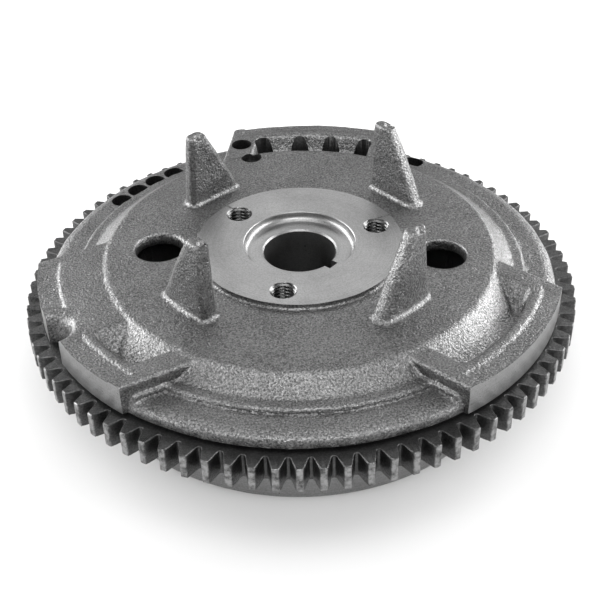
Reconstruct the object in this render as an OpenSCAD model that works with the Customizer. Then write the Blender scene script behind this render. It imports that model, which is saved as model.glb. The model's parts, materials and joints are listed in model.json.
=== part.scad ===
// Engine flywheel: one iron casting, a shrunk-on starter ring gear, and the alternator magnets in the skirt.
// Millimetres, +Z up. The origin is on the bore axis, in the plane of the skirt's lower edge.

/* [Skirt and web] */
// Outer radius of the skirt
skirt_r = 84.5; // [82:0.5:86]
// Inner radius of the magnet cup inside the skirt
cup_r = 76; // [74:0.5:78]
// Height of the underside of the web, which closes the cup
web_z = 48.2; // [46:0.2:49]
// Height of the flat top of the dome
dome_z = 53.5; // [52.5:0.25:54]
// Radius of the dome's top edge
dome_r = 77; // [76:0.5:78]
// Radius of the foot of the dome's sloping flank
flank_r = 86; // [85:0.5:87]
// Diameter of the two vent holes through the web
vent_d = 18.6; // [16:0.2:21]
// Distance of the vent holes from the axis
vent_r = 55.6; // [54:0.2:57]

/* [Hub] */
// Diameter of the crankshaft bore
bore_d = 28.575; // [25:0.005:30]
// Radius of the machined hub face
hub_r = 40.6; // [40:0.2:42.4]
// Height of the machined hub face
hub_z = 55.5; // [55:0.25:57]
// Height of the hub boss's lower end, inside the cup
boss_z = 10; // [4:1:20]
// Radius of the hub boss's lower end
boss_r = 27; // [25:0.5:29]
// Radius of the hub boss's shoulder under the web, which holds the tapped holes
shoulder_r = 40; // [39:0.5:41]
// Height of the shoulder's lower face
shoulder_z = 31; // [28:0.5:33]
// Radius of the counterbore in the hub face
counterbore_r = 22; // [20:0.5:24]
// Depth of the counterbore
counterbore_depth = 3.8; // [3:0.1:5]
// Width of the keyway
key_w = 4.76; // [4:0.01:6]
// Depth of the keyway beyond the bore's wall
key_depth = 3; // [2:0.1:4]
// Angle of the keyway about the axis
key_angle = -41; // [-180:1:180]
// Diameter of the circle of the three tapped holes
tapped_circle_d = 65; // [60:0.5:68]
// Core diameter of the tapped holes (for an M10 thread)
tapped_d = 8.5; // [6.8:0.1:10]
// Depth of the tapped holes
tapped_depth = 22; // [15:1:30]
// Angle of the first tapped hole
tapped_angle = 18.5; // [0:0.5:119]

/* [Rim and pads] */
// Height of the flat low rim between the pads
rim_z = 45.3; // [44.5:0.1:46]
// Height of the ledge that borders the low rim, along the dome and the pads' ends
ledge_z = 47.4; // [46.8:0.1:48.5]
// Radius of the low rim's top edge
rim_r = 97; // [96:0.5:98]
// Radius of the low rim's lower edge, above the ring gear
lip_r = 100.4; // [99:0.2:101]
// Height of the three raised pads
pad_z = 51.9; // [51:0.1:52.5]
// Outer radius of the machined pads
pad_r = 102.5; // [101.5:0.25:103]
// Width of the ledge along a pad's end
ledge_w = 1.2; // [0.8:0.1:2]
// Height left at each end of a pad, beside the shallow recess along its outer edge
recess_border = 5; // [3:0.5:6]
// Height of the pockets' floors
pocket_z = 45; // [43:0.5:46]

/* [Posts] */
// Distance of the posts' middle from the axis
post_r = 55.3; // [54:0.1:57]
// Angle of the first post
post_angle = 41.5; // [38:0.5:45]
// Length of a post along its circle, at the base
post_base_w = 26; // [22:0.5:28]
// Length of a post along its circle, at the tip
post_tip_w = 8.2; // [6:0.2:9]
// Thickness of a post at the base
post_base_t = 7.6; // [7:0.2:9]
// Thickness of a post at the tip
post_tip_t = 5.8; // [5:0.2:7]
// Height of the post tips above the skirt's lower edge
post_z = 84.8; // [75:0.5:90]

/* [Ring gear] */
// Number of starter teeth
gear_teeth = 85; // [70:1:100]
// Module of the teeth
gear_module = 2.5; // [2.4:0.05:2.6]
// Height of the gear's top face
gear_z = 39; // [38.5:0.25:39.5]
// Width of the ring gear's face
gear_w = 10.5; // [9:0.5:12]
// Radius of the seat that the ring gear is shrunk onto
seat_r = 93.5; // [92:0.5:95]

/* [Magnets] */
// Number of alternator magnets
magnet_count = 16; // [16:1:16]
// Radial thickness of a magnet
magnet_t = 6.5; // [5:0.5:8]
// Height of a magnet
magnet_h = 27; // [20:1:30]
// Height of the magnets' lower ends
magnet_z = 9; // [8:0.5:12]
// Gap between two magnets, measured at their inner faces
magnet_gap = 5; // [4:0.5:7]
// Wall thickness of the moulded spacer cage
cage_t = 1.2; // [1:0.1:2]
// Thickness of the pressed retainer ring
retainer_t = 1.2; // [1:0.1:2]

/* [Hidden] */

$fn = 96;
iron = "#6f7173";
steel = "#4d4f51";
ceramic = "#2e2f31";
nylon = "#26272a";
zinc = "#a9acae";

bore_r = bore_d / 2;
gear_bottom = gear_z - gear_w;
gear_tip_r = gear_module * (gear_teeth + 2) / 2;
gear_root_r = gear_tip_r - 2.36 * gear_module;
tooth_pitch = 360 / gear_teeth;
// angle of the first tooth's middle
tooth_phase = 2.155;
relief_r = 98;
relief_z = gear_z + 1.5;
counterbore_z = hub_z - counterbore_depth;
pad_ridge_z = pad_z + 0.6;
tapped_r = tapped_circle_d / 2;
magnet_inner_r = cup_r - magnet_t;
magnet_pitch = 360 / magnet_count;
magnet_arc = magnet_pitch - magnet_gap / magnet_inner_r * 180 / PI;
// angle left free at each end of a magnet in its window
cage_slack = 0.12;
// how far the ledge reaches past the foot of the dome's flank
ledge_reach = 2.8;
far = 130;

// pads: direction; the two ends, measured across it; the pocket's two ends; the inner radius of the recess
// along the outer edge; the outer radius of the pocket
PADS = [
    [81.8, -27, 43, -21, 32, 97, 91.5],
    [207.4, -43.3, 43.3, 10.2, 33.3, 94.5, 90.6],
    [318.6, -27.2, 42.8, -18, 34.3, 95.8, 91.6]];
// drilled balance holes: angle, distance from the axis, height of the hole's bottom
BALANCE_HOLES = [
    [127.3, 92, 36], [133.7, 92, 36], [140, 92, 36], [146.4, 92, 36], [56, 94, 36],
    [106.6, 88.2, 40], [106, 74.2, 50.5], [99.6, 88.3, 41], [89.2, 88.3, 41], [80.2, 88.3, 41],
    [70.6, 88.3, 41]];
balance_d = 9;
notch_angle = 207.4;
notch_r = 7;
vent_angles = [177.9, 352.2];

// ---- helpers ----

// a ring sector between two radii and two angles
module sector(r_in, r_out, a0, a1, z0, z1) {
    translate([0, 0, z0])
        linear_extrude(z1 - z0)
            intersection() {
                difference() {
                    circle(r_out);
                    circle(r_in);
                }
                polygon([[0, 0],
                    for (i = [0 : 4]) let (a = a0 + (a1 - a0) * i / 4) 1.5 * r_out * [cos(a), sin(a)]]);
            }
}

// a straight strip outwards from the axis in one direction, between two distances across it
module strip(direction, low, high, z0, z1) {
    rotate([0, 0, direction])
        translate([0, low, z0])
            cube([far, high - low, z1 - z0]);
}

// ---- flywheel casting ----

// points of a quarter-round fillet about a centre, from angle a0 to a1
function arc(cx, cz, r, a0, a1, n = 4) =
    [for (i = [0 : n]) let (a = a0 + (a1 - a0) * i / n) [cx + r * cos(a), cz + r * sin(a)]];

module casting_section() {
    polygon(concat(
        [[bore_r, boss_z], [boss_r - 1, boss_z], [boss_r, boss_z + 1]],
        arc(boss_r + 4, shoulder_z - 3, 3, 180, 90),
        [[shoulder_r - 1, shoulder_z], [shoulder_r, shoulder_z + 1]],
        arc(shoulder_r + 4, web_z - 4, 4, 180, 90),
        arc(cup_r - 5, web_z - 5, 5, 90, 0),
        [[cup_r, 1], [cup_r + 1, 0], [skirt_r - 1, 0], [skirt_r, 1]],
        arc(skirt_r + 2.5, gear_bottom - 4, 2.5, 180, 90),
        [[seat_r - 1, gear_bottom - 1.5], [seat_r, gear_bottom - 0.5], [seat_r, gear_z]],
        [[relief_r, gear_z], [relief_r, relief_z], [lip_r, relief_z]],
        arc(rim_r - 0.4, rim_z - 2.6, 2.6, 10, 90),
        [[flank_r + ledge_reach, rim_z]],
        arc(flank_r + ledge_reach - 1.1, ledge_z - 1, 1, 0, 90, 3),
        [[flank_r - 1, ledge_z]],
        arc(dome_r - 1.4, dome_z - 3, 3, 50, 90),
        arc(hub_r + 1.6, dome_z + 1.2, 1.2, 270, 180, 3),
        [[hub_r + 0.4, hub_z - 0.3], [hub_r, hub_z], [counterbore_r, hub_z], [counterbore_r, hub_z - 1.2]],
        arc(counterbore_r - 2.6, counterbore_z + 2.6, 2.6, 0, -90, 5),
        [[bore_r, counterbore_z]]));
}

// the solid of a pad, turned about the axis: outside the dome's flank
module pad_section() {
    polygon([
        [dome_r - 3, relief_z], [pad_r, relief_z], [pad_r, pad_ridge_z], [dome_r, pad_ridge_z + 0.2],
        [dome_r - 3, pad_ridge_z]]);
}

// the ledge's solid, turned about the axis
module ledge_section() {
    polygon([
        [dome_r, relief_z], [lip_r - 1, relief_z], [lip_r - 1, rim_z - 2], [rim_r + 1.5, ledge_z - 1],
        [rim_r + 0.5, ledge_z], [dome_r, ledge_z]]);
}

// the pocket between the dome's flank and a pad's outer wall
module pocket_section(pocket_r) {
    polygon([
        [dome_r + 0.6, dome_z + 2], [dome_r + 0.6, dome_z - 0.8], [flank_r, pocket_z + 0.6],
        [flank_r + 1, pocket_z], [pocket_r - 2, pocket_z], [pocket_r - 1.2, pocket_z + 1],
        [pocket_r + 0.6, dome_z + 2]]);
}

module pads() {
    for (pad = PADS) {
        intersection() {
            rotate_extrude() pad_section();
            strip(pad[0], pad[1], pad[2], relief_z, far);
        }
        intersection() {
            rotate_extrude() ledge_section();
            strip(pad[0], pad[1] - ledge_w, pad[2] + ledge_w, relief_z, far);
        }
    }
}

// the pockets, and the shallow recess along each pad's outer edge
module pad_hollows() {
    for (pad = PADS) {
        intersection() {
            rotate_extrude() pocket_section(pad[6]);
            strip(pad[0], pad[3], pad[4], gear_z, far);
        }
        difference() {
            strip(pad[0], pad[1] + recess_border, pad[2] - recess_border, pad_z, far);
            cylinder(h = far, r = pad[5]);
        }
    }
}

// one cast post: a tapered blade along its circle, upright at one end and sloping at the other
module post() {
    h = post_z - dome_z;
    lean = (post_base_w - post_tip_w) / 2 - 1.7;
    intersection() {
        translate([post_r + 20, 0, dome_z - 1])
            rotate([90, 0, -90])
                linear_extrude(40)
                    polygon([
                        [post_base_w / 2 + 0.4, 0], [post_base_w / 2, 1], [-lean + post_tip_w / 2, h],
                        [-lean + post_tip_w / 2 - 1.5, h + 1], [-lean - post_tip_w / 2 + 1.5, h + 1],
                        [-lean - post_tip_w / 2, h], [-post_base_w / 2, 1], [-post_base_w / 2 - 0.1, 0]]);
        translate([0, 30, dome_z - 1])
            rotate([90, 0, 0])
                linear_extrude(60)
                    polygon([
                        [post_r - post_base_t / 2, 0], [post_r + post_base_t / 2, 0],
                        [post_r - 1 + post_tip_t / 2, h], [post_r - 1 + post_tip_t / 2 - 1.5, h + 1],
                        [post_r - 1 - post_tip_t / 2 + 1.5, h + 1], [post_r - 1 - post_tip_t / 2, h]]);
        cylinder(h = far, r = post_r + post_base_t / 2 + 0.3);
    }
}

module hub_holes() {
    rotate([0, 0, key_angle])
        translate([0, -key_w / 2, boss_z - 1])
            cube([bore_r + key_depth, key_w, hub_z]);
    for (i = [0 : 2])
        rotate([0, 0, tapped_angle + 120 * i])
            translate([tapped_r, 0, hub_z - tapped_depth]) {
                cylinder(h = tapped_depth + 1, d = tapped_d);
                translate([0, 0, tapped_depth - 1])
                    cylinder(h = 1.1, d1 = tapped_d, d2 = tapped_d + 2.2);
            }
}

module balance_holes() {
    for (hole = BALANCE_HOLES)
        rotate([0, 0, hole[0]])
            translate([hole[1], 0, hole[2]])
                cylinder(h = far, d = balance_d);
}

module flywheel_casting() {
    color(iron)
        difference() {
            union() {
                rotate_extrude() casting_section();
                pads();
                for (i = [0 : 3])
                    rotate([0, 0, post_angle + 90 * i])
                        post();
            }
            pad_hollows();
            hub_holes();
            balance_holes();
            for (angle = vent_angles)
                rotate([0, 0, angle])
                    translate([vent_r, 0, web_z - 6])
                        cylinder(h = 20, d = vent_d);
            rotate([0, 0, notch_angle])
                translate([pad_r + 1, 0, gear_z - 0.5])
                    cylinder(h = far, r = notch_r);
        }
}

// ---- ring gear ----

// one tooth: half widths at the root, the pitch line and the tip, as angles
module gear_outline() {
    root_half = 1.62;
    pitch_half = 1.12;
    tip_half = 0.62;
    pitch_r = gear_tip_r - gear_module;
    polygon([for (i = [0 : gear_teeth - 1])
        let (a = tooth_phase + i * tooth_pitch)
        for (p = [[gear_root_r, -root_half], [pitch_r, -pitch_half], [gear_tip_r, -tip_half],
                  [gear_tip_r, tip_half], [pitch_r, pitch_half], [gear_root_r, root_half]])
        p[0] * [cos(a + p[1]), sin(a + p[1])]]);
}

module ring_gear() {
    color(steel)
        difference() {
            translate([0, 0, gear_bottom])
                linear_extrude(gear_w)
                    gear_outline();
            translate([0, 0, gear_bottom - 1])
                cylinder(h = gear_w + 2, r = seat_r);
        }
}

// ---- magnets and what holds them ----

module magnet(i) {
    middle = (i - 0.5) * magnet_pitch;
    color(ceramic)
        sector(magnet_inner_r, cup_r, middle - magnet_arc / 2, middle + magnet_arc / 2,
            magnet_z, magnet_z + magnet_h);
}

// the cage: a ring with a window for every magnet
module magnet_cage() {
    color(nylon)
        difference() {
            translate([0, 0, magnet_z - cage_t])
                cylinder(h = magnet_h + 2 * cage_t, r = cup_r);
            translate([0, 0, magnet_z - cage_t - 1])
                cylinder(h = magnet_h + 2 * cage_t + 2, r = magnet_inner_r);
            for (i = [1 : magnet_count])
                let (middle = (i - 0.5) * magnet_pitch, half = magnet_arc / 2 + cage_slack)
                    sector(magnet_inner_r - 2, cup_r + 2, middle - half, middle + half,
                        magnet_z, magnet_z + magnet_h);
        }
}

// the retainer: an L-shaped pressed ring, flat against the cage and turned down along the skirt
module magnet_retainer() {
    top = magnet_z - cage_t;
    color(zinc)
        rotate_extrude()
            polygon([
                [magnet_inner_r + 0.5, top], [magnet_inner_r + 0.5, top - retainer_t],
                [cup_r - retainer_t, top - retainer_t],
                [cup_r - retainer_t, top - 5], [cup_r, top - 5], [cup_r, top]]);
}

flywheel_casting();
ring_gear();
magnet_cage();
magnet_retainer();
magnet(1);  // magnet_01
magnet(2);  // magnet_02
magnet(3);  // magnet_03
magnet(4);  // magnet_04
magnet(5);  // magnet_05
magnet(6);  // magnet_06
magnet(7);  // magnet_07
magnet(8);  // magnet_08
magnet(9);  // magnet_09
magnet(10);  // magnet_10
magnet(11);  // magnet_11
magnet(12);  // magnet_12
magnet(13);  // magnet_13
magnet(14);  // magnet_14
magnet(15);  // magnet_15
magnet(16);  // magnet_16
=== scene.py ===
import json
import math

import bpy
import numpy as np
from mathutils import Matrix, Vector


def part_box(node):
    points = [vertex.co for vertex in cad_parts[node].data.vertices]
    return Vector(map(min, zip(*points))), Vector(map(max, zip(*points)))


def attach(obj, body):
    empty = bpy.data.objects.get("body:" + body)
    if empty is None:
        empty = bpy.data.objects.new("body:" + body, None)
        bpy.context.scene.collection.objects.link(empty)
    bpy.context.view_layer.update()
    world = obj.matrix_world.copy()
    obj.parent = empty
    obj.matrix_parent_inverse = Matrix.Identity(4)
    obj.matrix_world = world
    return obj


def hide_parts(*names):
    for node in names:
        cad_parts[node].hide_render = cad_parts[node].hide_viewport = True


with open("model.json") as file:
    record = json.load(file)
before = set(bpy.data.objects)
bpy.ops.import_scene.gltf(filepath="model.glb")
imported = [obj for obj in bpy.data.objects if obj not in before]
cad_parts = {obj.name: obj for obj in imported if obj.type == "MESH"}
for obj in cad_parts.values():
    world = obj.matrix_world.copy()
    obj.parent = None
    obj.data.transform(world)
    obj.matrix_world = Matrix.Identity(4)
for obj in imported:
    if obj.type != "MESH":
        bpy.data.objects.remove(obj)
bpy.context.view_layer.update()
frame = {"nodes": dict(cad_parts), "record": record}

# Engine flywheel: the iron casting is a smooth solid worked out on a grid, then turned and drilled by
# cutting tools; the ring gear and the magnets are swept outlines. Sizes here are in millimetres, and meshes
# are made in metres.

MM = 0.001
mounts = {m["name"]: m for m in frame["record"]["mounts"]}
gear_low, gear_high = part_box("ring_gear")
cast_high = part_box("flywheel_casting")[1]
cage_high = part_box("magnet_cage")[1]
magnet_low, magnet_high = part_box("magnet_01")
retainer_low, retainer_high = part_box("magnet_retainer")

# ---- sizes taken from the frame ----
GEAR_Z = gear_high[2] / MM
GEAR_BOTTOM = gear_low[2] / MM
POST_Z = cast_high[2] / MM - 0.25
HUB_Z = mounts["hub_face"]["pos_m"][2] / MM
BORE_R = mounts["crank_bore"]["dims"]["r_mm"]
TAPPED_R = mounts["puller_holes"]["dims"]["pcd_mm"] / 2
TAPPED_CORE_R = mounts["puller_holes"]["dims"]["hole_r_mm"]
CUP_R = cage_high[0] / MM
MAGNET_Z0, MAGNET_Z1 = magnet_low[2] / MM, magnet_high[2] / MM
RETAINER_Z0, RETAINER_Z1 = retainer_low[2] / MM, retainer_high[2] / MM

# ---- the casting's own sizes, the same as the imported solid's ----
SKIRT_R = 84.5
WEB_Z = 48.2
DOME_Z = 53.5
DOME_R = 77.0
FLANK_R = 86.0
VENT_R, VENT_PLACE, VENT_DRAFT = 9.3, 55.6, 0.096
VENT_ANGLES = (177.9, 352.2)
HUB_R = 40.6
BOSS_Z, BOSS_R = 10.0, 27.0
SHOULDER_Z, SHOULDER_R = 31.0, 40.0
COUNTERBORE_R, COUNTERBORE_Z = 22.0, HUB_Z - 3.8
KEY_W, KEY_DEPTH, KEY_ANGLE = 4.76, 3.0, -41.0
TAPPED_DEPTH, TAPPED_ANGLE = 22.0, 18.5
THREAD_PITCH, THREAD_DEPTH = 1.5, 0.75
RIM_Z, RIM_R, LIP_R = 45.3, 97.0, 100.4
LEDGE_Z, LEDGE_W, LEDGE_REACH = 47.4, 1.2, 2.8
PAD_Z, PAD_R = 51.9, 102.5
PAD_RIDGE_Z = PAD_Z + 0.6
RECESS_BORDER = 5.0
POCKET_Z = 45.0
RELIEF_R, RELIEF_Z = 98.0, GEAR_Z + 1.5
SEAT_R = 93.5
# a pad lies beyond this distance along its direction
PAD_INNER = 20.0
# each pad: its direction; its ends, measured across it; its pocket's ends and how far each slopes; the radius
# where its outer recess starts; the top radius of its pocket's outer wall, how far that wall slopes and its
# edge's rounding
PADS = (
    (81.8, (-27.0, 43.0), (-21.0, 31.0), (0.3, 0.3), 97.0, 92.8, 2.6, 1.2),
    (207.4, (-43.3, 43.3), (10.2, 33.3), (1.0, 0.15), 94.5, 90.9, 1.6, 0.9),
    (318.6, (-27.2, 42.8), (-18.0, 34.3), (0.15, 1.0), 95.8, 91.9, 1.6, 0.9))
POST_ANGLE, POST_R = 41.5, 55.3
POST_BASE_W, POST_TIP_W = 26.0, 8.2
POST_BASE_T, POST_TIP_T = 7.6, 5.8
# the upright end comes in by this much from base to tip, and the whole blade leans in by the other
POST_END_RUN, POST_INWARD = 1.7, 1
# how far a tip's middle lies from its base's middle, along the circle
POST_LEAN = (POST_BASE_W - POST_TIP_W) / 2 - POST_END_RUN
# the dent in each tip: its sphere's radius, the height of the sphere's middle over the tip, and its shift to
# the front right
DIMPLE_R, DIMPLE_RISE, DIMPLE_SHIFT = 2.0, 0.3, (1.9, -1.0)
NOTCH_ANGLE, NOTCH_R, NOTCH_CLEARANCE = 207.4, 7.0, 13.0
NOTCH_FLARE_DEPTH, NOTCH_FLARE = 3.2, 0.5
# drilled balance holes: angle, distance from the axis, height of the bottom
BALANCE_HOLES = (
    (127.3, 92.0, 36.0), (133.7, 92.0, 36.0), (140.0, 92.0, 36.0), (146.4, 92.0, 36.0), (56.0, 94.0, 36.0),
    (106.6, 88.2, 40.0), (106.0, 74.2, 49.6), (99.6, 88.3, 41.0), (89.2, 88.3, 41.0), (80.2, 88.3, 41.0),
    (70.6, 88.3, 41.0))
BALANCE_R = 4.5
DRILL_HALF_ANGLE = 59
# the hole in the thin web has a nearly flat end
WEB_DRILL_TIP = 0.3
TURNING_ALLOWANCE = 0.8
GRID_STEP = 0.8
CASTING_FACES = 150_000

GEAR_TEETH = 85
TOOTH_PHASE = 2.155
GEAR_TIP_R = -gear_low[1] / MM - 0.03
GEAR_ROOT_R = GEAR_TIP_R - 5.9
# the tooth tips are worn bright over this radial distance
WORN_REACH = 1.6

MAGNET_COUNT, MAGNET_T, MAGNET_GAP, MAGNET_CHAMFER = 16, 6.5, 5, 0.5
RETAINER_T, RETAINER_WIDTH = 1.2, 6


# ---- outlines in the (radius, height) plane ----

def arc(centre_r, centre_z, radius, start, end, steps=6):
    """Points of an arc, angles in degrees."""
    angles = [math.radians(start + (end - start) * i / steps) for i in range(steps + 1)]
    return [(centre_r + radius * math.cos(a), centre_z + radius * math.sin(a)) for a in angles]


def cast_outline():
    """The body of revolution as cast, with metal left on wherever it is turned afterwards."""
    extra = TURNING_ALLOWANCE
    return ([(BORE_R - extra, BOSS_Z - extra), (BOSS_R - 1, BOSS_Z - extra), (BOSS_R, BOSS_Z + 1)]
            + arc(BOSS_R + 4, SHOULDER_Z - 4, 4, 180, 90)
            + arc(SHOULDER_R - 1.5, SHOULDER_Z + 1.5, 1.5, 270, 360)
            + arc(SHOULDER_R + 5, WEB_Z - 5, 5, 180, 90)
            + arc(CUP_R - 5, WEB_Z - 5, 5, 90, 0)
            + [(CUP_R - extra, WEB_Z - 8), (CUP_R - extra, -extra), (SKIRT_R + extra, -extra)]
            + arc(SKIRT_R + 4, GEAR_BOTTOM - 6, 3, 180, 90)
            + [(SEAT_R + extra, GEAR_BOTTOM - 3), (SEAT_R + extra, GEAR_Z - extra)]
            + [(RELIEF_R + extra, GEAR_Z - extra), (RELIEF_R + extra, RELIEF_Z - extra)]
            + [(LIP_R + 0.1, RELIEF_Z - extra), (LIP_R, RELIEF_Z)]
            + arc(LIP_R - 2.6, RIM_Z - 3.2, 2.6, 5, 70)
            + arc(RIM_R - 1.5, RIM_Z - 5, 5, 72, 90)
            + arc(FLANK_R + 1.0, RIM_Z + 1.5, 1.5, 270, 232, 3)
            + arc(DOME_R - 1.9, DOME_Z - 2.9, 2.9, 40, 90)
            + arc(HUB_R + 1.4, DOME_Z + 0.9, 0.9, 270, 180)
            + [(HUB_R + 0.3, HUB_Z + extra), (COUNTERBORE_R - extra, HUB_Z + extra)]
            + [(COUNTERBORE_R - extra - 3, COUNTERBORE_Z + extra), (BORE_R - extra, COUNTERBORE_Z + extra)])


def turned_outline():
    """What the lathe leaves: every turned face, and free space round the cast skin."""
    top = POST_Z + 3
    return ([(BORE_R, BOSS_Z), (CUP_R - 4, BOSS_Z), (CUP_R - 4, WEB_Z - 6), (CUP_R, WEB_Z - 6), (CUP_R, 0.7)]
            + [(CUP_R + 0.7, 0), (SKIRT_R - 0.8, 0), (SKIRT_R, 0.8)]
            + arc(SKIRT_R + 2.5, GEAR_BOTTOM - 4, 2.5, 180, 90)
            + [(SEAT_R - 1, GEAR_BOTTOM - 1.5), (SEAT_R, GEAR_BOTTOM - 0.5), (SEAT_R, GEAR_Z)]
            + [(RELIEF_R, GEAR_Z), (RELIEF_R, RELIEF_Z), (PAD_R - 0.25, RELIEF_Z), (PAD_R, RELIEF_Z + 0.25)]
            + [(PAD_R, top), (HUB_R + 1.9, top), (HUB_R + 1.9, HUB_Z)]
            + [(COUNTERBORE_R + 0.25, HUB_Z), (COUNTERBORE_R, HUB_Z - 0.25)]
            + arc(COUNTERBORE_R - 2.7, COUNTERBORE_Z + 2.7, 2.7, 0, -90, 10)
            + [(BORE_R + 0.6, COUNTERBORE_Z), (BORE_R, COUNTERBORE_Z - 0.6)])


def pad_outline():
    """A pad's section, out past the turned rim."""
    bottom = RELIEF_Z - TURNING_ALLOWANCE
    inner, outer = DOME_R - 6, PAD_R + 1.5
    return [(inner, bottom), (outer, bottom), (outer, PAD_RIDGE_Z), (inner, PAD_RIDGE_Z + 0.2)]


def ledge_ring_outline():
    """The ledge along the foot of the dome's flank."""
    edge_r = FLANK_R + LEDGE_REACH
    return ([(DOME_R, RIM_Z - 3), (edge_r, RIM_Z - 3), (edge_r, LEDGE_Z - 1.3)]
            + arc(edge_r - 1.3, LEDGE_Z - 1.3, 1.2, 5, 90) + [(DOME_R, LEDGE_Z - 0.1)])


def ledge_outline():
    """The ledge that borders a pad's ends, as a ring."""
    bottom = RELIEF_Z - TURNING_ALLOWANCE
    return ([(DOME_R, bottom), (LIP_R - 0.6, bottom), (LIP_R - 0.6, RIM_Z - 2)]
            + arc(RIM_R + 0.8, LEDGE_Z - 1.2, 1.2, 20, 90) + [(DOME_R, LEDGE_Z)])


def pocket_outline(top_r, run):
    """A pocket's section, from inside the dome to the pad's outer wall."""
    floor_r = top_r - run
    rate = run / (PAD_RIDGE_Z - POCKET_Z)
    return ([(DOME_R - 8, DOME_Z + 6), (DOME_R - 8, POCKET_Z)]
            + arc(floor_r - 1.2, POCKET_Z + 1.4, 1.4, 270, 345)
            + [(top_r + rate * (DOME_Z + 6 - PAD_RIDGE_Z), DOME_Z + 6)])


# ---- distances to shapes; negative inside ----

def outline_distance(points, r, z):
    """Signed distance from (r, z) to a closed outline."""
    nearest = np.full(np.broadcast(r, z).shape, 1e9)
    inside = np.zeros(nearest.shape, bool)
    for (r0, z0), (r1, z1) in zip(points, points[1:] + points[:1]):
        along_r, along_z = r1 - r0, z1 - z0
        length = along_r ** 2 + along_z ** 2
        if length < 1e-12:
            continue
        t = np.clip(((r - r0) * along_r + (z - z0) * along_z) / length, 0, 1)
        nearest = np.minimum(nearest, (r - r0 - t * along_r) ** 2 + (z - z0 - t * along_z) ** 2)
        if z0 != z1:
            inside ^= ((z0 > z) != (z1 > z)) & (r < along_r * (z - z0) / along_z + r0)
    nearest = np.sqrt(nearest)
    return np.where(inside, -nearest, nearest)


class Lathe:
    """The distance to a turned shape, read from a fine table over radius and height."""
    STEP = 0.2
    LOW = -4.0

    def __init__(self, points, r_max=112.0, z_max=96.0):
        r = np.arange(0, r_max, self.STEP)[:, None]
        z = np.arange(self.LOW, z_max, self.STEP)[None, :]
        self.table = outline_distance(points, r, z)

    def __call__(self, r, z):
        u = np.clip(r / self.STEP, 0, self.table.shape[0] - 1.001)
        v = np.clip((z - self.LOW) / self.STEP, 0, self.table.shape[1] - 1.001)
        i, j = u.astype(int), np.asarray(v).astype(int)
        a, b = u - i, v - j
        low = self.table[i, j] * (1 - a) + self.table[i + 1, j] * a
        high = self.table[i, j + 1] * (1 - a) + self.table[i + 1, j + 1] * a
        return low * (1 - b) + high * b


def join(a, b, fillet):
    """Both shapes, with a round fillet where they meet."""
    near = np.hypot(np.maximum(fillet - a, 0), np.maximum(fillet - b, 0))
    return np.maximum(fillet, np.minimum(a, b)) - near


def common(a, b, edge):
    """What the shapes share, with a rounded edge."""
    near = np.hypot(np.maximum(edge + a, 0), np.maximum(edge + b, 0))
    return np.minimum(-edge, np.maximum(a, b)) + near


def polar(radius, angle):
    return radius * math.cos(math.radians(angle)), radius * math.sin(math.radians(angle))


def turned(x, y, angle):
    """Coordinates along and across a direction."""
    c, s = math.cos(math.radians(angle)), math.sin(math.radians(angle))
    return x * c + y * s, y * c - x * s


def pad_distance(x, y, r, z, pad, pocket_section):
    """One pad with its outer recess, its notch's clearance, the ledge round its ends and its pocket."""
    direction, (low, high), (start, end), (start_slope, end_slope), recess_r, _, _, edge = pad
    along, across = turned(x, y, direction)
    front = PAD_INNER - along
    body = common(pad_section(r, z), np.maximum(np.maximum(low - across, across - high), front), 1.5)
    notch_x, notch_y = polar(PAD_R + 1, NOTCH_ANGLE)
    recess = np.maximum(np.maximum(low + RECESS_BORDER - across, across - high + RECESS_BORDER),
                        np.maximum(recess_r - r, NOTCH_CLEARANCE - np.hypot(x - notch_x, y - notch_y)))
    body = common(body, -common(recess, PAD_Z - z, 0.6), 0.9)
    ledge = np.maximum(np.maximum(low - LEDGE_W - across, across - high - LEDGE_W), front)
    body = join(body, common(ledge_section(r, z), ledge, 0.5), 0.5)
    depth = PAD_RIDGE_Z - z
    ends = np.maximum((start - across + start_slope * depth) / math.hypot(1, start_slope),
                      (across - end + end_slope * depth) / math.hypot(1, end_slope))
    return common(body, -common(pocket_section(r, z), ends, 2.0), edge)


def post_distance(x, y, r, z, angle):
    """A tapered blade along its circle: upright at one end, sloping at the other."""
    height = POST_Z - DOME_Z
    rise = (z - DOME_Z) / height
    out, along = turned(x, y, angle)
    upright = along - (POST_BASE_W / 2 + (POST_LEAN + POST_TIP_W / 2 - POST_BASE_W / 2) * rise)
    slope_run = POST_BASE_W / 2 + POST_LEAN - POST_TIP_W / 2
    sloping = (-along - POST_BASE_W / 2 + slope_run * rise) * math.cos(math.atan2(slope_run, height))
    taper = (POST_TIP_T - POST_BASE_T) / 2
    inner = (POST_R - POST_BASE_T / 2 + (-POST_INWARD - taper) * rise) - out
    outer = r - (POST_R + POST_BASE_T / 2 + 0.2 + (-POST_INWARD + taper) * rise)
    blade = common(np.maximum(upright, sloping), np.maximum(inner, outer), 2.4)
    blade = common(blade, z - POST_Z, 1.2)
    shift_out, shift_along = turned(*DIMPLE_SHIFT, angle)
    dimple_out, dimple_along = out - (POST_R - POST_INWARD) - shift_out, along - POST_LEAN - shift_along
    dimple = np.sqrt(dimple_out ** 2 + dimple_along ** 2 + (z - POST_Z - DIMPLE_RISE) ** 2) - DIMPLE_R
    return common(np.maximum(blade, DOME_Z - 2 - z), -dimple, 0.4)


def skin_waves():
    """A few long shallow waves that keep the cast skin from looking turned."""
    random = np.random.default_rng(7)
    waves = []
    for wavelength, height in ((34, 0.09), (21, 0.08), (13, 0.06), (8, 0.05), (5, 0.03)):
        for _ in range(3):
            direction = random.normal(size=3)
            direction *= 2 * math.pi / wavelength / np.linalg.norm(direction)
            waves.append((direction, random.uniform(0, 2 * math.pi), height / 2))
    return waves


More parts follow.
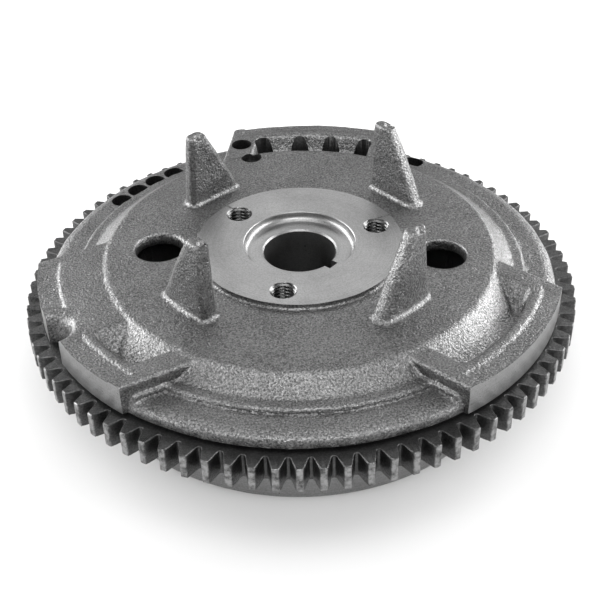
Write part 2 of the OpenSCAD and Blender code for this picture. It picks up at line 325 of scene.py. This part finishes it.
cast_section = Lathe(cast_outline())
pad_section = Lathe(pad_outline())
ledge_section = Lathe(ledge_outline())
ledge_ring_section = Lathe(ledge_ring_outline())
pocket_sections = [Lathe(pocket_outline(pad[5], pad[6])) for pad in PADS]
WAVES = skin_waves()


def casting_distance(x, y, z):
    """The whole casting before it is turned and drilled."""
    r = np.hypot(x, y)
    solid = cast_section(r, z)
    ledge = ledge_ring_section(r, z)
    for direction, (low, high), *_ in PADS:
        along, across = turned(x, y, direction)
        ledge = np.maximum(ledge, np.minimum(np.minimum(across - low, high - across), along - PAD_INNER))
    solid = join(solid, ledge, 0.6)
    for pad, pocket_section in zip(PADS, pocket_sections):
        solid = join(solid, pad_distance(x, y, r, z, pad, pocket_section), 0.5)
    for i in range(4):
        solid = join(solid, post_distance(x, y, r, z, POST_ANGLE + 90 * i), 1.7)
    for angle in VENT_ANGLES:
        vent_x, vent_y = polar(VENT_PLACE, angle)
        vent = np.hypot(x - vent_x, y - vent_y) - VENT_R - VENT_DRAFT * (z - WEB_Z)
        solid = common(solid, np.minimum(-vent, z - WEB_Z + 8), 1.1)
    notch_x, notch_y = polar(PAD_R + 1, NOTCH_ANGLE)
    flare = np.maximum(z - PAD_RIDGE_Z + NOTCH_FLARE_DEPTH, 0) * NOTCH_FLARE
    notch = np.hypot(x - notch_x - 0.5 * flare, y - notch_y - 0.3 * flare) - NOTCH_R - 0.6 * flare
    solid = common(solid, -notch, 1.6)
    for direction, phase, height in WAVES:
        solid = solid + height * np.sin(direction[0] * x + direction[1] * y + direction[2] * z + phase)
    return solid


# ---- from a distance to a mesh ----

def net_faces(index, sign, axis):
    """Quads across every grid edge along one axis that passes through the surface."""
    other = [a for a in range(3) if a != axis]
    shape = index.shape
    span = [slice(1, n) for n in shape]
    span[axis] = slice(0, shape[axis])
    here, there = [list(span), list(span)]
    here[axis], there[axis] = slice(0, shape[axis]), slice(1, shape[axis] + 1)
    inside, beyond = sign[tuple(here)], sign[tuple(there)]
    corners = []
    for step_a, step_b in ((0, 0), (1, 0), (1, 1), (0, 1)):
        cut = list(span)
        cut[other[0]] = slice(1 - step_a, shape[other[0]] - step_a)
        cut[other[1]] = slice(1 - step_b, shape[other[1]] - step_b)
        corners.append(index[tuple(cut)])
    corners = np.stack(corners, -1)
    leaving, entering = corners[inside & ~beyond], corners[~inside & beyond]
    if axis == 1:
        leaving, entering = entering, leaving
    return np.concatenate([leaving[:, ::-1], entering])


def surface_net(distance, low, high, step):
    """The zero surface of a distance: one vertex for each grid cell that it crosses, then moved onto it."""
    axes = [np.arange(a, b + step, step) for a, b in zip(low, high)]
    gx, gy = np.meshgrid(axes[0], axes[1], indexing="ij")
    values = np.stack([distance(gx, gy, z).astype(np.float32) for z in axes[2]], -1)
    sign = values < 0
    cells = tuple(n - 1 for n in sign.shape)

    def corner(grid, offset):
        return grid[tuple(slice(o, o + n) for o, n in zip(offset, cells))]

    offsets = [(i, j, k) for i in (0, 1) for j in (0, 1) for k in (0, 1)]
    count = sum(corner(sign, o).astype(np.int8) for o in offsets)
    active = (count > 0) & (count < 8)
    index = np.full(cells, -1)
    index[active] = np.arange(active.sum())
    place = np.argwhere(active).astype(float)
    total, crossings = np.zeros_like(place), np.zeros(len(place))
    for start in offsets:
        for axis in range(3):
            if start[axis]:
                continue
            end = tuple(1 if a == axis else o for a, o in enumerate(start))
            f0 = corner(values, start)[active].astype(float)
            f1 = corner(values, end)[active].astype(float)
            crossed = (f0 < 0) != (f1 < 0)
            t = np.where(crossed, f0 / np.where(crossed, f0 - f1, 1), 0)
            point = np.array(start, float) + t[:, None] * np.eye(3)[axis]
            total += np.where(crossed[:, None], point, 0)
            crossings += crossed
    points = (place + total / crossings[:, None]) * step + np.array(low)
    for _ in range(2):
        points = onto_surface(distance, points, step)
    faces = np.concatenate([net_faces(index, sign, axis) for axis in range(3)])
    return points, faces


def onto_surface(distance, points, step):
    """Moves points along the distance's slope to where it is zero, by half a step at most."""
    x, y, z = points.T
    value, reach = distance(x, y, z), 0.05
    slope = np.stack([distance(x + reach, y, z) - value, distance(x, y + reach, z) - value,
                      distance(x, y, z + reach) - value], -1) / reach
    move = -value[:, None] * slope / np.maximum((slope ** 2).sum(1, keepdims=True), 0.3)
    return points + np.clip(move, -step / 2, step / 2)


def make_object(name, points, faces):
    """A mesh object from points in millimetres."""
    mesh = bpy.data.meshes.new(name)
    metres = (np.asarray(points, float) * MM).tolist()
    mesh.from_pydata(metres, [], [tuple(int(i) for i in f) for f in faces])
    mesh.validate()
    obj = bpy.data.objects.new(name, mesh)
    bpy.context.scene.collection.objects.link(obj)
    return obj


def apply_modifiers(obj):
    graph = bpy.context.evaluated_depsgraph_get()
    mesh = bpy.data.meshes.new_from_object(obj.evaluated_get(graph))
    old, obj.data = obj.data, mesh
    obj.modifiers.clear()
    bpy.data.meshes.remove(old)


def cut(obj, tool, operation="DIFFERENCE"):
    """Cuts one closed mesh with another and removes the tool."""
    boolean = obj.modifiers.new("cut", "BOOLEAN")
    boolean.operation, boolean.object, boolean.solver = operation, tool, "MANIFOLD"
    apply_modifiers(obj)
    bpy.data.objects.remove(tool)


def ring_mesh(name, outline, segments=480):
    """A closed outline, all of it off the axis, turned into a ring."""
    outline = np.array(outline)
    n = len(outline)
    angles = np.arange(segments) * 2 * math.pi / segments
    points = np.stack([np.outer(np.cos(angles), outline[:, 0]), np.outer(np.sin(angles), outline[:, 0]),
                       np.tile(outline[:, 1], (segments, 1))], -1).reshape(-1, 3)
    faces = []
    for here in range(segments):
        there = (here + 1) % segments
        faces += [(here * n + i, there * n + i, there * n + (i + 1) % n, here * n + (i + 1) % n)
                  for i in range(n)]
    return make_object(name, points, faces)


def tube_faces(rings, n):
    """Quads between closed rings of n points each, one ring above another, and a flat face at each end."""
    faces = [(k * n + i, k * n + (i + 1) % n, (k + 1) * n + (i + 1) % n, (k + 1) * n + i)
             for k in range(rings - 1) for i in range(n)]
    faces.append(tuple(range(n))[::-1])
    faces.append(tuple((rings - 1) * n + i for i in range(n)))
    return faces


def rod_mesh(name, profile, segments=48, at=(0, 0)):
    """A rod about an upright axis: profile is (radius, height) from its lower end up, closed by flat ends."""
    angles = np.arange(segments) * 2 * math.pi / segments
    points = [(at[0] + r * math.cos(a), at[1] + r * math.sin(a), z) for r, z in profile for a in angles]
    return make_object(name, points, tube_faces(len(profile), segments))


def thread_mesh(name, at, core_r, depth, pitch, z0, z1, segments=48, rows_per_turn=8):
    """A tap: a rod whose radius rises and falls along a helix."""
    rows = int((z1 - z0) / pitch * rows_per_turn)
    angles = np.arange(segments) * 2 * math.pi / segments
    heights = z0 + np.arange(rows + 1) * pitch / rows_per_turn
    turn = (heights[:, None] / pitch - angles[None, :] / (2 * math.pi)) % 1.0
    radius = core_r + depth * np.clip(1.9 * (1 - np.abs(2 * turn - 1)) - 0.35, 0, 1)
    points = np.stack([at[0] + radius * np.cos(angles), at[1] + radius * np.sin(angles),
                       np.repeat(heights[:, None], segments, 1)], -1).reshape(-1, 3)
    return make_object(name, points, tube_faces(rows + 1, segments))


def box_mesh(name, x, y, z, angle=0.0):
    """A box between three pairs of limits, turned about the axis."""
    corners = [(i, j, k) for i in x for j in y for k in z]
    c, s = math.cos(math.radians(angle)), math.sin(math.radians(angle))
    points = [(i * c - j * s, i * s + j * c, k) for i, j, k in corners]
    faces = [(0, 1, 3, 2), (4, 6, 7, 5), (0, 4, 5, 1), (2, 3, 7, 6), (0, 2, 6, 4), (1, 5, 7, 3)]
    return make_object(name, points, faces)


# ---- the casting ----

def machine_casting(obj):
    """Turns, drills, taps and broaches the cast body."""
    cut(obj, ring_mesh("lathe", turned_outline()), "INTERSECT")
    for angle, place, bottom in BALANCE_HOLES:
        tip = WEB_DRILL_TIP if place < DOME_R else BALANCE_R / math.tan(math.radians(DRILL_HALF_ANGLE))
        drill = [(0.02, bottom - tip), (BALANCE_R, bottom), (BALANCE_R, POST_Z)]
        cut(obj, rod_mesh("drill", drill, at=polar(place, angle)))
    countersink = [(TAPPED_CORE_R - 1, HUB_Z - 2), (TAPPED_CORE_R + 1, HUB_Z), (TAPPED_CORE_R + 2, HUB_Z + 1)]
    for i in range(3):
        at = polar(TAPPED_R, TAPPED_ANGLE + 120 * i)
        low = HUB_Z - TAPPED_DEPTH
        cut(obj, thread_mesh("tap", at, TAPPED_CORE_R, THREAD_DEPTH, THREAD_PITCH, low, HUB_Z + 2))
        cut(obj, rod_mesh("countersink", countersink, at=at))
    key_across, key_heights = (-KEY_W / 2, KEY_W / 2), (BOSS_Z - 3, HUB_Z + 3)
    cut(obj, box_mesh("broach", (0, BORE_R + KEY_DEPTH), key_across, key_heights, KEY_ANGLE))


def face_centres(mesh):
    """Every face's centre in millimetres, and its normal."""
    centres, normals = np.empty(len(mesh.polygons) * 3), np.empty(len(mesh.polygons) * 3)
    mesh.polygons.foreach_get("center", centres)
    mesh.polygons.foreach_get("normal", normals)
    return centres.reshape(-1, 3) / MM, normals.reshape(-1, 3)


def paint_casting(obj, materials):
    """Gives turned and drilled faces their own materials; returns which faces are turned flat."""
    cast, turned_face, drilled, threaded = range(4)
    obj.data.materials.clear()
    for material in materials:
        obj.data.materials.append(material)
    centres, normals = face_centres(obj.data)
    x, y, z = centres.T
    r = np.hypot(x, y)
    slack = 0.01
    kinds = np.where(np.abs(outline_distance(turned_outline(), r, z)) < 0.035, turned_face, cast)
    for angle, place, bottom in BALANCE_HOLES:
        hole_x, hole_y = polar(place, angle)
        near = np.hypot(x - hole_x, y - hole_y) < BALANCE_R + slack
        kinds[near & (z > bottom - 4) & (z < DOME_Z)] = drilled
    for i in range(3):
        hole_x, hole_y = polar(TAPPED_R, TAPPED_ANGLE + 120 * i)
        near = np.hypot(x - hole_x, y - hole_y) < TAPPED_CORE_R + 2
        kinds[near & (z < HUB_Z - slack) & (z > HUB_Z - 30)] = threaded
    out, across = turned(x, y, KEY_ANGLE)
    in_key = (np.abs(across) < KEY_W / 2 + slack) & (out > BORE_R - 1) & (out < BORE_R + KEY_DEPTH + slack)
    kinds[in_key & (z < HUB_Z)] = turned_face
    obj.data.polygons.foreach_set("material_index", kinds.astype(np.int32))
    return (kinds == turned_face) & (np.abs(normals[:, 2]) > 0.999)


def build_casting(materials):
    """The cast skin from its distance, thinned, then machined and shaded."""
    top = POST_Z + 2
    points, faces = surface_net(casting_distance, (-105, -105, -3), (105, 105, top), GRID_STEP)
    obj = make_object("casting", points, faces)
    thin = obj.modifiers.new("thin", "DECIMATE")
    thin.ratio = min(1.0, CASTING_FACES / (2 * len(faces)))
    apply_modifiers(obj)
    machine_casting(obj)
    flat = paint_casting(obj, materials)
    smooth(obj, 42)
    obj.data.polygons.foreach_set("use_smooth", ~flat)
    obj.data.update()
    return obj


def smooth(obj, angle):
    """Smooth shading that stays sharp where faces meet more steeply than an angle."""
    obj.data.polygons.foreach_set("use_smooth", [True] * len(obj.data.polygons))
    obj.data.set_sharp_from_angle(angle=math.radians(angle))


# ---- the ring gear ----

def tooth_points():
    """One tooth pitch of the gear's outline as (radius, angle from the tooth's middle)."""
    half_pitch = 180 / GEAR_TEETH
    root, tip = GEAR_ROOT_R, GEAR_TIP_R
    flank = [(root, 1.86), (root + 0.3, 1.66), (root + 1.2, 1.46), (root + 2.4, 1.28),
             (tip - 2.3, 1.08), (tip - 1.1, 0.87), (tip - 0.25, 0.66), (tip, 0.55)]
    rising = [(r, -a) for r, a in flank]
    return [(root - 0.05, -half_pitch)] + rising + [(tip, 0.0)] + flank[::-1]


def build_ring_gear(material):
    """Teeth with worn, slightly uneven chamfers along the top and bottom, on a turned ring."""
    random = np.random.default_rng(11)
    pitch = 360 / GEAR_TEETH
    outline = [(r, math.radians(TOOTH_PHASE + k * pitch + a))
               for k in range(GEAR_TEETH) for r, a in tooth_points()]
    radius, angle = np.array(outline).T
    plan = np.stack([radius * np.cos(angle), radius * np.sin(angle)], -1)
    along = np.roll(plan, -1, 0) - np.roll(plan, 1, 0)
    normal = np.stack([along[:, 1], -along[:, 0]], -1) / np.linalg.norm(along, axis=1)[:, None]
    reach = np.clip((radius - GEAR_ROOT_R) / (GEAR_TIP_R - GEAR_ROOT_R), 0, 1)
    chamfer = 0.16 + reach * random.uniform(0.12, 0.42, len(radius))
    rounding = 0.3 * chamfer
    seat = np.stack([SEAT_R * np.cos(angle), SEAT_R * np.sin(angle)], -1)
    seat_edge = np.stack([(SEAT_R + 0.5) * np.cos(angle), (SEAT_R + 0.5) * np.sin(angle)], -1)
    neck_r = GEAR_ROOT_R - 0.9
    neck = np.stack([neck_r * np.cos(angle), neck_r * np.sin(angle)], -1)
    rings = []

    def ring(place, height):
        rings.append(np.column_stack([place, np.broadcast_to(height, len(place))]))

    ring(seat, GEAR_BOTTOM + 0.5)
    ring(seat_edge, GEAR_BOTTOM)
    ring(neck, GEAR_BOTTOM)
    ring(plan - normal * chamfer[:, None], GEAR_BOTTOM)
    ring(plan - normal * rounding[:, None], GEAR_BOTTOM + chamfer - rounding)
    ring(plan, GEAR_BOTTOM + chamfer * 1.4)
    ring(plan, (GEAR_BOTTOM + GEAR_Z) / 2)
    ring(plan, GEAR_Z - chamfer * 1.4)
    ring(plan - normal * rounding[:, None], GEAR_Z - chamfer + rounding)
    ring(plan - normal * chamfer[:, None], GEAR_Z)
    ring(neck, GEAR_Z)
    ring(seat_edge, GEAR_Z)
    ring(seat, GEAR_Z - 0.5)
    n, m = len(plan), len(rings)
    faces = [(k * n + i, k * n + (i + 1) % n, (k + 1) % m * n + (i + 1) % n, (k + 1) % m * n + i)
             for k in range(m) for i in range(n)]
    obj = make_object("ring_gear_teeth", np.concatenate(rings), faces)
    obj.data.materials.append(material)
    smooth(obj, 33)
    return obj


# ---- magnets, cage and retainer ----

def build_magnet(name, node, material):
    """One arc magnet with ground faces and small chamfers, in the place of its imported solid."""
    low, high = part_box(node)
    middle = math.degrees(math.atan2(low[1] + high[1], low[0] + high[0]))
    pitch = 360 / MAGNET_COUNT
    inner, outer = CUP_R - MAGNET_T, CUP_R - 0.02
    half = (pitch - math.degrees(MAGNET_GAP / inner)) / 2
    columns = 14
    chamfer = MAGNET_CHAMFER
    section = [(inner + chamfer, MAGNET_Z0), (outer - chamfer, MAGNET_Z0),
               (outer, MAGNET_Z0 + chamfer), (outer, MAGNET_Z1 - chamfer),
               (outer - chamfer, MAGNET_Z1), (inner + chamfer, MAGNET_Z1),
               (inner, MAGNET_Z1 - chamfer), (inner, MAGNET_Z0 + chamfer)]
    centre_r, centre_z = (inner + outer) / 2, (MAGNET_Z0 + MAGNET_Z1) / 2
    edge = math.degrees(chamfer / inner)
    stations = ([(-half, chamfer)]
                + [(-half + edge + (2 * half - 2 * edge) * i / columns, 0.0) for i in range(columns + 1)]
                + [(half, chamfer)])
    points = []
    for angle, inset in stations:
        a = math.radians(middle + angle)
        for r, z in section:
            r -= math.copysign(inset, r - centre_r)
            z -= math.copysign(inset, z - centre_z)
            points.append((r * math.cos(a), r * math.sin(a), z))
    obj = make_object(name, points, tube_faces(len(stations), len(section)))
    obj.data.materials.append(material)
    smooth(obj, 30)
    return obj


def build_retainer(material):
    """The pressed ring, with rounded bends."""
    inner, top = CUP_R - RETAINER_WIDTH, RETAINER_Z1
    outline = ([(inner, top), (inner, top - RETAINER_T)]
               + arc(CUP_R - RETAINER_T - 0.9, top - RETAINER_T - 0.9, 0.9, 90, 0, 5)
               + [(CUP_R - RETAINER_T, RETAINER_Z0), (CUP_R - 0.01, RETAINER_Z0)]
               + arc(CUP_R - 2.01, top - 2, 2.0, 0, 90, 8))
    obj = ring_mesh("retainer_ring", outline[::-1], 288)
    obj.data.materials.append(material)
    smooth(obj, 40)
    return obj


# ---- materials ----

class Nodes:
    """Short calls for building a node material."""

    def __init__(self, name):
        self.material = bpy.data.materials.new(name)
        self.material.use_nodes = True
        self.tree = self.material.node_tree
        self.shader = self.tree.nodes["Principled BSDF"]
        self.place = self.tree.nodes.new("ShaderNodeTexCoord").outputs["Object"]

    def link(self, output, node, socket):
        self.tree.links.new(output, node.inputs[socket])

    def noise(self, scale, detail=2.0, roughness=0.5, at=None):
        node = self.tree.nodes.new("ShaderNodeTexNoise")
        self.link(at or self.place, node, "Vector")
        node.inputs["Scale"].default_value = scale
        node.inputs["Detail"].default_value = detail
        node.inputs["Roughness"].default_value = roughness
        return node.outputs["Fac"]

    def ramp(self, value, *stops):
        node = self.tree.nodes.new("ShaderNodeValToRGB")
        self.link(value, node, "Fac")
        while len(node.color_ramp.elements) < len(stops):
            node.color_ramp.elements.new(0.5)
        for element, (place, shade) in zip(node.color_ramp.elements, stops):
            element.position = place
            element.color = (*shade, 1) if isinstance(shade, tuple) else (shade, shade, shade, 1)
        return node.outputs["Color"]

    def math(self, operation, a, b=0.0):
        node = self.tree.nodes.new("ShaderNodeMath")
        node.operation = operation
        for i, value in enumerate((a, b)):
            if isinstance(value, (int, float)):
                node.inputs[i].default_value = value
            else:
                self.tree.links.new(value, node.inputs[i])
        return node.outputs[0]

    def mix(self, factor, a, b):
        node = self.tree.nodes.new("ShaderNodeMix")
        node.data_type = "RGBA"
        for i, value in ((0, factor), (6, a), (7, b)):
            if isinstance(value, (int, float)):
                node.inputs[i].default_value = value if i == 0 else (value, value, value, 1)
            else:
                self.tree.links.new(value, node.inputs[i])
        return node.outputs[2]

    def bump(self, height, strength, distance, under=None):
        node = self.tree.nodes.new("ShaderNodeBump")
        self.link(height, node, "Height")
        node.inputs["Strength"].default_value = strength
        node.inputs["Distance"].default_value = distance
        if under is not None:
            self.link(under, node, "Normal")
        return node.outputs["Normal"]

    def split(self):
        node = self.tree.nodes.new("ShaderNodeSeparateXYZ")
        self.link(self.place, node, "Vector")
        return node.outputs

    def radius(self):
        x, y, _ = self.split()
        return self.math("SQRT", self.math("ADD", self.math("MULTIPLY", x, x), self.math("MULTIPLY", y, y)))

    def finish(self, colour, roughness, normal=None, metallic=1.0):
        self.link(colour, self.shader, "Base Color")
        self.link(roughness, self.shader, "Roughness")
        self.shader.inputs["Metallic"].default_value = metallic
        if normal is not None:
            self.link(normal, self.shader, "Normal")
        return self.material


def cast_iron():
    """Sandy as-cast iron: dark grain with bright flecks over soft mottling."""
    n = Nodes("cast_iron_skin")
    grain = n.noise(1350, 2, 0.55)
    fleck = n.noise(1900, 1, 0.5)
    mottle = n.noise(55, 4, 0.6)
    base = n.mix(0.5, n.ramp(mottle, (0.3, 0.09), (0.7, 0.165)), n.ramp(grain, (0.34, 0.02), (0.66, 0.31)))
    colour = n.mix(n.ramp(fleck, (0.6, 0.0), (0.72, 0.5)), base, 0.45)
    roughness = n.ramp(grain, (0.25, 0.46), (0.75, 0.34))
    coarse = n.bump(n.noise(480, 2, 0.5), 1.0, 0.0003)
    fine = n.bump(grain, 1.0, 0.0003, coarse)
    return n.finish(colour, roughness, fine)


def turned_iron():
    """Machined iron: faint concentric tool marks on a smooth face with a fine grain and soft clouds."""
    n = Nodes("turned_iron")
    radius = n.radius()
    _, _, height = n.split()
    marks_at = n.tree.nodes.new("ShaderNodeCombineXYZ")
    n.link(radius, marks_at, "X")
    n.link(height, marks_at, "Y")
    marks = n.noise(2600, 2, 0.6, marks_at.outputs[0])
    cloud = n.noise(38, 4, 0.6)
    grain = n.noise(1700, 2, 0.6)
    pores = n.noise(900, 3, 0.6)
    tone = n.mix(0.5, n.ramp(cloud, (0.3, 0.2), (0.7, 0.32)), n.ramp(grain, (0.3, 0.17), (0.7, 0.36)))
    tone = n.mix(0.15, tone, n.ramp(marks, (0.35, 0.16), (0.65, 0.38)))
    colour = n.mix(n.ramp(pores, (0.26, 1.0), (0.33, 0.0)), tone, 0.07)
    roughness = n.ramp(cloud, (0.3, 0.42), (0.7, 0.32))
    return n.finish(colour, roughness, n.bump(grain, 0.25, 0.0001, n.bump(marks, 0.08, 0.0001)))


def drilled_iron():
    n = Nodes("drilled_iron")
    marks = n.noise(900, 2, 0.5)
    colour, roughness = n.ramp(marks, (0.3, 0.05), (0.7, 0.12)), n.ramp(marks, (0.3, 0.5), (0.7, 0.35))
    return n.finish(colour, roughness, n.bump(marks, 0.3, 0.0003))


def tapped_iron_painted_shade():
    # Cut threads, their colour kept dark as painted shade inside the tapped holes.
    n = Nodes("tapped_iron_painted_shade")
    marks = n.noise(700, 2, 0.5)
    colour, roughness = n.ramp(marks, (0.3, 0.07), (0.7, 0.16)), n.ramp(marks, (0.3, 0.34), (0.7, 0.24))
    return n.finish(colour, roughness, n.bump(marks, 0.1, 0.0001))


def gear_steel():
    """Dark oiled steel, worn bright towards the tooth tips."""
    n = Nodes("gear_steel")
    grain = n.noise(1300, 3, 0.6)
    stain = n.noise(110, 4, 0.6)
    dark = n.mix(0.5, n.ramp(stain, (0.3, 0.03), (0.7, 0.1)), n.ramp(grain, (0.3, 0.025), (0.7, 0.12)))
    past_worn = n.math("SUBTRACT", n.radius(), (GEAR_TIP_R - WORN_REACH) * MM)
    tip = n.math("MULTIPLY", past_worn, 1 / (WORN_REACH * MM))
    worn = n.ramp(n.math("MULTIPLY", tip, n.math("ADD", n.noise(420, 3, 0.6), 0.1)), (0.42, 0.0), (0.7, 1.0))
    colour = n.mix(worn, dark, 0.3)
    roughness = n.ramp(grain, (0.3, 0.48), (0.7, 0.34))
    return n.finish(colour, roughness, n.bump(grain, 0.5, 0.0003, n.bump(stain, 0.3, 0.0006)))


def ferrite():
    n = Nodes("ferrite")
    grain = n.noise(1600, 3, 0.6)
    colour, roughness = n.ramp(grain, (0.3, 0.02), (0.7, 0.045)), n.ramp(grain, (0.3, 0.55), (0.7, 0.4))
    return n.finish(colour, roughness, n.bump(grain, 0.2, 0.0001), metallic=0.0)


def nylon():
    n = Nodes("moulded_nylon")
    grain = n.noise(900, 2, 0.5)
    colour, roughness = n.ramp(grain, (0.3, 0.012), (0.7, 0.025)), n.ramp(grain, (0.3, 0.55), (0.7, 0.45))
    return n.finish(colour, roughness, n.bump(grain, 0.1, 0.0001), metallic=0.0)


def zinc_plate():
    n = Nodes("zinc_plate")
    grain = n.noise(500, 3, 0.55)
    colour, roughness = n.ramp(grain, (0.3, 0.45), (0.7, 0.6)), n.ramp(grain, (0.3, 0.42), (0.7, 0.3))
    return n.finish(colour, roughness, n.bump(grain, 0.08, 0.0001))


# ---- the object ----

casting = build_casting([cast_iron(), turned_iron(), drilled_iron(), tapped_iron_painted_shade()])
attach(casting, "root")
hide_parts("flywheel_casting")

teeth = build_ring_gear(gear_steel())
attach(teeth, "root")
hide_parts("ring_gear")

ferrite_material = ferrite()
for i in range(1, MAGNET_COUNT + 1):
    node = f"magnet_{i:02d}"
    magnet = build_magnet(f"arc_{node}", node, ferrite_material)
    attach(magnet, "root")
    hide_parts(node)

retainer = build_retainer(zinc_plate())
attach(retainer, "root")
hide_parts("magnet_retainer")

cage = frame["nodes"]["magnet_cage"]
cage.data.materials.clear()
cage.data.materials.append(nylon())


# ---- the scene ----

# each softbox: its name; its direction from the object, as azimuth and elevation in degrees; its distance,
# width and height in metres; the radiance of its face
SOFTBOXES = (
    ("overhead", 270, 82, 1.2, 1.0, 0.6, 2.8),
    ("front", 270, 44, 1.2, 1.1, 0.4, 7.0),
    ("rear", 90, 38, 1.3, 1.1, 0.5, 1.7),
    ("left", 152, 20, 1.1, 1.0, 0.6, 9.0),
    ("right", 28, 20, 1.1, 1.0, 0.6, 9.0),
    ("left_low", 192, 14, 1.2, 0.5, 0.5, 7.0),
    ("right_low", 346, 14, 1.2, 0.5, 0.5, 9.0))
SOFTBOX_TARGET = Vector((0, 0, 0.045))
WORLD_STRENGTH = 0.3
FLOOR_HALF = 6.0
# the camera fitted to the photo; angles in degrees, distance in metres, lens and sensor in millimetres
CAMERA_ELEVATION, CAMERA_DISTANCE, CAMERA_ROLL = 37.14, 0.4667, 1.48
CAMERA_LENS, CAMERA_SENSOR = 68.23, 36.0
CAMERA_SHIFT_X, CAMERA_SHIFT_Y = -0.00194, 0.00774
# the camera looks at the axis, this far below the gear's top face
CAMERA_TARGET_DROP = 0.0145


def build_floor():
    """A plain pale floor, staged so that it isn't part of the object."""
    n = Nodes("studio_floor")
    speckle = n.noise(8, 2, 0.5)
    n.finish(n.ramp(speckle, (0.0, 0.6), (1.0, 0.64)), n.ramp(speckle, (0.0, 0.9), (1.0, 1.0)), metallic=0.0)
    corners = [(x * FLOOR_HALF, y * FLOOR_HALF, 0) for x, y in ((-1, -1), (1, -1), (1, 1), (-1, 1))]
    mesh = bpy.data.meshes.new("floor")
    mesh.from_pydata(corners, [], [(0, 1, 2, 3)])
    floor = bpy.data.objects.new("floor", mesh)
    floor.data.materials.append(n.material)
    bpy.context.scene.collection.objects.link(floor)


def softbox(name, azimuth, elevation, distance, width, height, radiance):
    """An area light that faces the object from a direction, with a given brightness of its face."""
    a, e = math.radians(azimuth), math.radians(elevation)
    direction = Vector((math.cos(a) * math.cos(e), math.sin(a) * math.cos(e), math.sin(e)))
    place = SOFTBOX_TARGET + distance * direction
    data = bpy.data.lights.new(name, "AREA")
    data.shape, data.size, data.size_y = "RECTANGLE", width, height
    data.energy = radiance * math.pi * width * height
    light = bpy.data.objects.new(name, data)
    bpy.context.scene.collection.objects.link(light)
    light.location = place
    light.rotation_euler = (SOFTBOX_TARGET - place).to_track_quat("-Z", "Y").to_euler()


def build_lights():
    world = bpy.data.worlds.new("studio")
    bpy.context.scene.world = world
    world.use_nodes = True
    background = world.node_tree.nodes["Background"]
    background.inputs["Color"].default_value = (1, 1, 1, 1)
    background.inputs["Strength"].default_value = WORLD_STRENGTH
    for box in SOFTBOXES:
        softbox(*box)


def build_camera():
    """The camera stands in front of the object and looks down at its axis."""
    elevation, roll = math.radians(CAMERA_ELEVATION), math.radians(CAMERA_ROLL)
    target = Vector((0, 0, GEAR_Z * MM - CAMERA_TARGET_DROP))
    back = Vector((0, -math.cos(elevation), math.sin(elevation)))
    data = bpy.data.cameras.new("camera")
    data.sensor_width, data.lens = CAMERA_SENSOR, CAMERA_LENS
    data.shift_x, data.shift_y = CAMERA_SHIFT_X, CAMERA_SHIFT_Y
    data.clip_start, data.clip_end = 0.01, 50
    camera = bpy.data.objects.new("camera", data)
    bpy.context.scene.collection.objects.link(camera)
    camera.location = target + back * CAMERA_DISTANCE
    upright = (-back).to_track_quat("-Z", "Y").to_matrix()
    camera.rotation_euler = (upright @ Matrix.Rotation(-roll, 3, "Z")).to_euler()
    bpy.context.scene.camera = camera


build_floor()
build_lights()
build_camera()
bpy.context.scene.view_settings.view_transform = "Standard"
